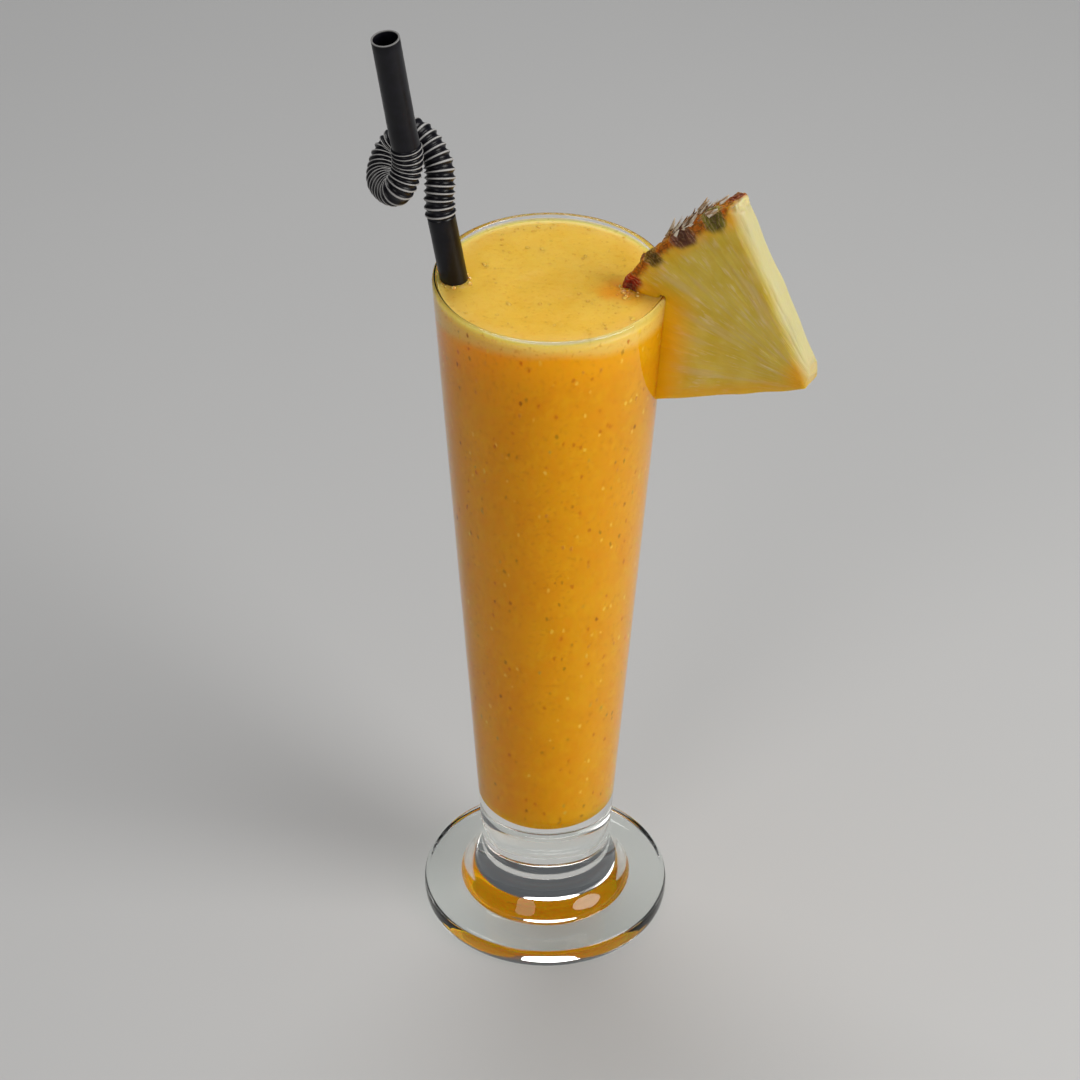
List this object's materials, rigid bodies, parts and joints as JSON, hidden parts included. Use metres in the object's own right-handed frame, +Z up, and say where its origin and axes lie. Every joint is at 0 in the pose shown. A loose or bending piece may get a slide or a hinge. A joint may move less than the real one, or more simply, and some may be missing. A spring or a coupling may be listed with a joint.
{
  "type": "mango smoothie",
  "caption": "Mango smoothie in a tall footed glass, with a bendy drinking straw looped on itself and a pineapple wedge hung on the rim.",
  "frame": {"origin": "middle of the foot's underside", "axes": "+Z up along the glass's axis, +Y away from the viewer, +X to the viewer's right, where the pineapple hangs"},
  "size_m": [0.1258, 0.0758, 0.3092],
  "materials": {
    "glass": "clear, polished",
    "drink": "thick blended fruit, moist",
    "straw": "glossy black",
    "pineapple": "juicy flesh, rough rind"
  },
  "bodies": {
    "root": {"glass": "glass", "drink": "drink", "straw": "straw", "pineapple_wedge": "pineapple"}
  },
  "joints": []
}
